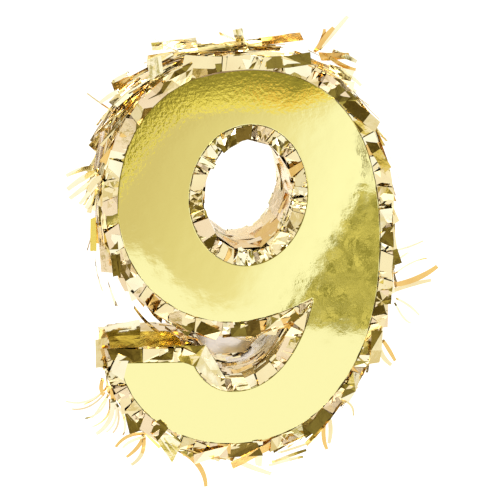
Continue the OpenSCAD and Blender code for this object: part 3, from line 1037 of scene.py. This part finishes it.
rng = random.Random(5)
strands, curls = Builder(), Builder()
for y, w, mat, pts in STRANDS:
    B = curls if w > 3.3 else strands
    n = 15
    line = smooth_line(pts, y, n, rng, bow=2.0 if w < 3.3 else 1.2)
    lead = line[0] + (line[0] - line[1]) * 1.2
    line = [Vector((lead.x, y + 1.5, lead.z))] + line
    widths = [w * (0.85 + 0.15 * math.sin(3.1 * i / n)) * (1 - 0.45 * max(0.0, i / n - 0.6)) for i in range(n + 1)]
    t = (line[-1] - line[0]).normalized()
    flat = t.cross(Vector((0, 1, 0)))
    flat.y = -0.16 * flat.z + rng.uniform(-0.12, 0.12)
    ribbon(B, line, [q * (1.5 if w < 3.3 else 1.15) for q in widths], flat, mat, th=0.12,
           cup=0.0, twist=rng.uniform(-1, 1) * (0.25 if w < 3.3 else 0.15), across=1)
for x, z, a, L, w, y in [
        (-118, -62, 150, 34, 6, 4), (-60, -4, 160, 46, 5, 8), (-40, 4, 172, 60, 6, 12), (-90, -28, 205, 52, 5, 2),
        (-128, -100, 250, 50, 6, -12), (-134, -140, 262, 52, 7, -6), (-137, -180, 268, 50, 6, -14), (20, 6, 8, 44, 6, 14),
        (60, 2, -24, 46, 6, 2), (100, -30, -48, 44, 6, -8), (132, -76, -62, 46, 5, -18), (144, -130, -78, 50, 7, -24),
        (150, -180, -88, 46, 7, -22), (-128, -204, 282, 40, 8, -20), (-100, -242, 305, 38, 8, -24), (-70, -262, 325, 40, 7, -26)]:
    h = math.radians(a)
    p = Vector((x, y, z))
    bend = rng.uniform(-0.5, 0.5)
    line = []
    for i in range(7):
        line.append(p.copy())
        p = p + Vector((math.cos(h), rng.uniform(-0.05, 0.05), math.sin(h))) * (L / 6)
        h += bend / 6
    ribbon(curls, line, [w * (1 - 0.3 * i / 6) for i in range(7)], (0.1, 0.95, 0.1), pick(rng, W_SIDE), th=0.12, cup=0.3, twist=rng.uniform(-0.7, 0.7), across=1, rng=rng)
for name, y, mat, q in PIECES:
    c = [Vector((p[0], y, p[1])) for p in q]
    mid = sum(c, Vector((0, 0, 0))) / 4
    dark = "_dark" in name or "olive" in name or "hook_strip" in name
    if dark:
        n = TO_EYE + Vector((rng.uniform(-0.08, 0.08), 0, rng.uniform(-0.06, 0.08)))
    elif name in ("white_flap", "tip_flap", "hook_sheet", "top_tab", "under_cream", "pale_top_mid", "left_cream", "left_cream_b", "left_low", "left_reverse_a", "left_reverse_b", "throat_hang"):
        n = Vector((rng.uniform(0.0, 0.04), -1, rng.uniform(-0.09, -0.04)))
    else:
        r = rng.uniform(0.1, 0.3)
        a = rng.uniform(0, 6.28)
        n = Vector((r * math.cos(a) + 0.12, -1, r * math.sin(a) - 0.08))
    n.normalize()
    nu, nv = 4, 2
    rows = []
    for i in range(nu + 1):
        row = []
        for j in range(nv + 1):
            u, v = i / nu, j / nv
            p = c[0] * (1 - u) * (1 - v) + c[1] * u * (1 - v) + c[2] * u * v + c[3] * (1 - u) * v
            dy = (n.x * (p.x - mid.x) + n.z * (p.z - mid.z)) / -n.y
            edge = 0.3 if 0 < i < nu and 0 < j < nv else 0.12
            row.append(Vector((p.x + rng.uniform(-0.4, 0.4), y + max(-4, min(4, dy)) + rng.uniform(-edge, edge), p.z + rng.uniform(-0.4, 0.4))))
        rows.append(row)
    curls.sheet(rows, mat, 0.14, rng)
o = curls.object("foil_loose_curls", FOILS)
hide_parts("loose_curls"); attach(o, "shell")
o = strands.object("foil_tinsel_strands", FOILS)
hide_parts("tinsel_strands"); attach(o, "shell")

# --------------------------------------------------- CAD nodes that stay as made
for name, mat in [("front_panel", BOARD), ("back_panel", BOARD), ("fill_flap", BOARD), ("top_wall", BOARD),
                  ("right_wall", BOARD), ("bottom_wall", BOARD), ("hook_wall", BOARD), ("throat_wall", BOARD),
                  ("bowl_under_wall", BOARD), ("left_wall", BOARD), ("hole_wall", BOARD), ("hanger_pad", PAD),
                  ("front_outer_tape", TAPE), ("back_outer_tape", TAPE), ("front_hole_tape", TAPE), ("back_hole_tape", TAPE)]:
    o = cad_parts[name]
    for s in o.material_slots:
        s.material = mat
    if not o.material_slots:
        o.data.materials.append(mat)

# ------------------------------------------------------------- stage, light
def stage_mesh(name, verts, faces, mat):
    me = bpy.data.meshes.new(name)
    me.from_pydata(verts, [], faces)
    me.materials.append(mat)
    me.update()
    o = bpy.data.objects.new(name, me)
    bpy.context.scene.collection.objects.link(o)
    return o


fm, nt, b = principled("studio_floor", (0.86, 0.86, 0.86), 0.0, 0.9)
b.inputs["Specular IOR Level"].default_value = 0.0
grain = N(nt, "ShaderNodeTexNoise", Scale=3.0, Detail=3.0)
nt.links.new(obj_coords(nt), grain.inputs["Vector"])
gr = N(nt, "ShaderNodeMapRange")
gr.inputs["To Min"].default_value = 0.30
gr.inputs["To Max"].default_value = 0.36
nt.links.new(grain.outputs["Fac"], gr.inputs["Value"])
b.inputs["Emission Color"].default_value = (1, 1, 1, 1)
nt.links.new(gr.outputs["Result"], b.inputs["Emission Strength"])
FZ = -1.55
stage_mesh("studio_floor", [(-40, -0.9, FZ), (40, -0.9, FZ), (40, 40, FZ), (-40, 40, FZ)], [(0, 1, 2, 3)], fm)

# dark flags round the set, there only to be mirrored in the foil
dm, nt, b = principled("studio_flag", (0.12, 0.09, 0.035), 0.0, 0.9)
b.inputs["Specular IOR Level"].default_value = 0.0
for k, (deg, dist, w, z0, z1) in enumerate(((-68, 1.7, 0.34, -1.5, 1.0), (-128, 1.5, 0.30, -1.5, 0.8), (-158, 2.2, 0.26, -1.5, 0.2),
                                         (64, 1.7, 0.30, -1.5, 1.0), (118, 1.6, 0.28, -1.5, 0.9), (156, 2.2, 0.30, -1.5, 0.3))):
    a = math.radians(deg)
    c = Vector((math.sin(a), -math.cos(a), 0)) * dist
    t = Vector((math.cos(a), math.sin(a), 0)) * (w / 2)
    p = [c - t, c + t]
    flag = stage_mesh("studio_flag_%d" % k, [(p[0].x, p[0].y, z0), (p[1].x, p[1].y, z0), (p[1].x, p[1].y, z1), (p[0].x, p[0].y, z1)], [(0, 1, 2, 3)], dm)
    flag.visible_camera = False
    flag.visible_shadow = False
    flag.visible_diffuse = False

world = bpy.data.worlds.new("studio")
bpy.context.scene.world = world
world.use_nodes = True
nt = world.node_tree
nt.nodes.clear()
out = nt.nodes.new("ShaderNodeOutputWorld")
tc = nt.nodes.new("ShaderNodeTexCoord")
sep = nt.nodes.new("ShaderNodeSeparateXYZ")
nt.links.new(tc.outputs["Generated"], sep.inputs["Vector"])


def mth(op, a, b=None, c=None):
    n = nt.nodes.new("ShaderNodeMath")
    n.operation = op
    for i, v in enumerate((a, b, c)):
        if v is None:
            continue
        if isinstance(v, (int, float)):
            n.inputs[i].default_value = v
        else:
            nt.links.new(v, n.inputs[i])
    return n.outputs[0]


def soft(value, lo, hi):
    """0 below lo, 1 above hi, smooth between."""
    n = nt.nodes.new("ShaderNodeMapRange")
    n.interpolation_type = "SMOOTHSTEP"
    n.inputs["From Min"].default_value = lo
    n.inputs["From Max"].default_value = hi
    nt.links.new(value, n.inputs["Value"])
    return n.outputs["Result"]


def inv(v):
    return mth("SUBTRACT", 1.0, v)


def mul(*vs):
    r = vs[0]
    for v in vs[1:]:
        r = mth("MULTIPLY", r, v)
    return r


def blend(fac, a, b):
    n = nt.nodes.new("ShaderNodeMix")
    n.data_type = "RGBA"
    f_in = [i for i in n.inputs if i.name == "Factor" and i.type == "VALUE"][0]
    a_in = [i for i in n.inputs if i.name == "A" and i.type == "RGBA"][0]
    b_in = [i for i in n.inputs if i.name == "B" and i.type == "RGBA"][0]
    nt.links.new(fac, f_in)
    for sock, v in ((a_in, a), (b_in, b)):
        if isinstance(v, tuple):
            sock.default_value = (*v, 1)
        else:
            nt.links.new(v, sock)
    return [o for o in n.outputs if o.type == "RGBA"][0]


X, Y, Z = sep.outputs
DEG = 180 / math.pi
az = mth("MULTIPLY", mth("ARCTAN2", X, mth("MULTIPLY", Y, -1.0)), DEG)    # 0 along -Y, positive to +X
el = mth("MULTIPLY", mth("ARCSINE", Z), DEG)
grad = mth("MULTIPLY_ADD", soft(Z, 0.0, 0.9), 0.30, 0.95)
light = nt.nodes.new("ShaderNodeCombineColor")
nt.links.new(grad, light.inputs[0])
nt.links.new(mth("MULTIPLY", grad, 0.99), light.inputs[1])
nt.links.new(mth("MULTIPLY", grad, 0.97), light.inputs[2])
patch = nt.nodes.new("ShaderNodeTexNoise")
patch.inputs["Scale"].default_value = 3.2
patch.inputs["Detail"].default_value = 2.0
nt.links.new(tc.outputs["Generated"], patch.inputs["Vector"])
col = blend(soft(patch.outputs["Fac"], 0.52, 0.62), light.outputs[0], (0.84, 0.76, 0.52))
# the near part of the room in front of the table: a tan sweep that pales to the right
tone = nt.nodes.new("ShaderNodeValToRGB")
cr = tone.color_ramp
cr.elements[0].position, cr.elements[0].color = 0.0, (0.75, 0.655, 0.42, 1)
cr.elements[1].position, cr.elements[1].color = 0.84, (1.14, 1.15, 1.16, 1)
for p, c in ((0.26, (0.83, 0.75, 0.51)), (0.54, (0.955, 0.89, 0.69)), (0.70, (1.08, 1.08, 1.07))):
    e = cr.elements.new(p)
    e.color = (*c, 1)
nt.links.new(mth("ADD", mth("MULTIPLY_ADD", az, 5.95 / 54, -7.8 * 5.95 / 54), mth("MULTIPLY_ADD", el, -1.9 / 54, -10.7 * 1.9 / 54)), tone.inputs["Fac"])
front = mul(soft(az, -50, -44), inv(soft(az, 40, 46)))
low = mth("MULTIPLY_ADD", soft(az, 6.5, 11.0), -2.3, -15.6)       # where the sweep meets the white floor
below = soft(mth("SUBTRACT", low, el), -0.35, 0.35)
col = blend(mul(front, inv(soft(el, -6.5, -5.0)), soft(el, -60, -50)), col, tone.outputs["Color"])
col = blend(mul(front, below), col, (1.10, 1.10, 1.12))
# the dark end of the room, with a yellow strip along its foot
foot = mth("MAXIMUM", mth("MINIMUM", mth("MULTIPLY_ADD", az, 1.9, -7.0 - 8 * 1.9), -7.8), -17.0)
over = mth("SUBTRACT", el, foot)
sides = mul(soft(az, -44, -36), inv(soft(az, 17, 22)), inv(soft(el, 30, 35)))
clutter = nt.nodes.new("ShaderNodeTexNoise")
clutter.inputs["Scale"].default_value = 5.0
clutter.inputs["Detail"].default_value = 3.0
nt.links.new(tc.outputs["Generated"], clutter.inputs["Vector"])
shade = blend(soft(clutter.outputs["Fac"], 0.36, 0.66), (0.09, 0.065, 0.014), (0.30, 0.24, 0.065))
rise = nt.nodes.new("ShaderNodeValToRGB")
cr = rise.color_ramp
cr.elements[0].position, cr.elements[0].color = 0.10, (1.02, 0.90, 0.34, 1)
cr.elements[1].position, cr.elements[1].color = 1.0, (0.30, 0.26, 0.065, 1)
for p, c in ((0.30, (0.94, 0.82, 0.22)), (0.42, (0.55, 0.46, 0.115))):
    e = cr.elements.new(p)
    e.color = (*c, 1)
speck = nt.nodes.new("ShaderNodeTexNoise")
speck.inputs["Scale"].default_value = 120.0
speck.inputs["Detail"].default_value = 4.0
nt.links.new(tc.outputs["Generated"], speck.inputs["Vector"])
shift = mth("MULTIPLY_ADD", speck.outputs["Fac"], 2.6, -1.3)
nt.links.new(mth("ADD", mth("MULTIPLY_ADD", over, 1 / 4.8, 0.06), shift), rise.inputs["Fac"])
col = blend(mul(sides, soft(over, -0.9, -0.4)), col, rise.outputs["Color"])
col = blend(mul(sides, soft(over, 6.0, 9.0)), col, shade)
col = blend(mul(soft(az, 11.3, 11.9), inv(soft(az, 12.9, 13.5)), soft(mth("ADD", over, shift), -0.3, 0.5), inv(soft(mth("ADD", over, shift), 2.4, 3.4)), 0.75), col, (1.0, 0.62, 0.16))
# a brown table leg to the right
grain = nt.nodes.new("ShaderNodeTexNoise")
grain.inputs["Scale"].default_value = 210.0
grain.inputs["Detail"].default_value = 4.0
nt.links.new(tc.outputs["Generated"], grain.inputs["Vector"])
edge = mth("ADD", mth("MULTIPLY_ADD", mth("ADD", el, 12.9), 0.49, 15.15), mth("MULTIPLY", grain.outputs["Fac"], 0.9))
leg = mul(soft(mth("SUBTRACT", az, edge), -0.03, 0.06), inv(soft(az, 25, 27)), soft(el, -18.15, -17.95), inv(soft(el, -12.9, -12.6)))
col = blend(leg, col, blend(soft(grain.outputs["Fac"], 0.38, 0.62), (0.25, 0.23, 0.055), (0.80, 0.71, 0.29)))
# a slim dark edge above it
line = mth("ABSOLUTE", mth("SUBTRACT", az, mth("MULTIPLY_ADD", mth("ADD", el, 11.1), -0.385, 15.4)))
col = blend(mul(inv(soft(line, 0.05, 0.11)), soft(el, -12.6, -12.4), inv(soft(el, -11.1, -10.9))), col, (0.25, 0.21, 0.06))
# stands further round
stand = mth("ADD", mul(soft(az, -100, -95), inv(soft(az, -86, -81)), inv(soft(el, 30, 38))),
            mul(soft(az, 76, 80), inv(soft(az, 88, 92)), inv(soft(el, 26, 32))))
col = blend(mth("MINIMUM", stand, 1.0), col, (0.12, 0.085, 0.02))
bg1 = nt.nodes.new("ShaderNodeBackground")
nt.links.new(col, bg1.inputs["Color"])
bg2 = nt.nodes.new("ShaderNodeBackground")
bg2.inputs["Color"].default_value = (1, 1, 1, 1)
bg2.inputs["Strength"].default_value = 1.05
lp = nt.nodes.new("ShaderNodeLightPath")
mx = nt.nodes.new("ShaderNodeMixShader")
nt.links.new(lp.outputs["Is Camera Ray"], mx.inputs["Fac"])
nt.links.new(bg1.outputs[0], mx.inputs[1])
nt.links.new(bg2.outputs[0], mx.inputs[2])
nt.links.new(mx.outputs[0], out.inputs["Surface"])


def softbox(name, loc, target, size, power, spread=None):
    l = bpy.data.lights.new(name, "AREA")
    l.shape = "RECTANGLE"
    l.size, l.size_y = size
    l.energy = power
    o = bpy.data.objects.new(name, l)
    bpy.context.scene.collection.objects.link(o)
    o.location = loc
    d = Vector(target) - Vector(loc)
    o.rotation_euler = d.to_track_quat("-Z", "Y").to_euler()
    return o


MID = (0.014, 0.0, -0.193)
softbox("softbox_left", (-2.2, -1.6, 1.6), MID, (1.4, 1.4), 60)
softbox("softbox_right", (2.4, -1.2, 1.2), MID, (1.0, 1.6), 45)
softbox("softbox_top", (0.2, 0.6, 2.4), MID, (2.0, 1.2), 50)

# ---------------------------------------------------------------- camera
cam = bpy.data.cameras.new("camera")
co = bpy.data.objects.new("camera", cam)
bpy.context.scene.collection.objects.link(co)
AZ, EL, ROLL = math.radians(-11.5), math.radians(15.5), math.radians(3.0)
back = Vector((math.sin(AZ) * math.cos(EL), -math.cos(AZ) * math.cos(EL), math.sin(EL)))
right = (-back).cross(Vector((0, 0, 1))).normalized()
up = right.cross(-back)
r2 = right * math.cos(ROLL) + up * math.sin(ROLL)
u2 = up * math.cos(ROLL) - right * math.sin(ROLL)
m = Matrix((r2, u2, back)).transposed().to_4x4()
m.translation = Vector(MID) + back * 1.5
co.matrix_world = m
cam.sensor_width = 36.0
cam.lens = 36.0 * (1.5 / 0.000968) / 500.0
cam.clip_start, cam.clip_end = 0.05, 100
bpy.context.scene.camera = co
bpy.context.scene.view_settings.view_transform = "Standard"
bpy.context.scene.view_settings.look = "None"
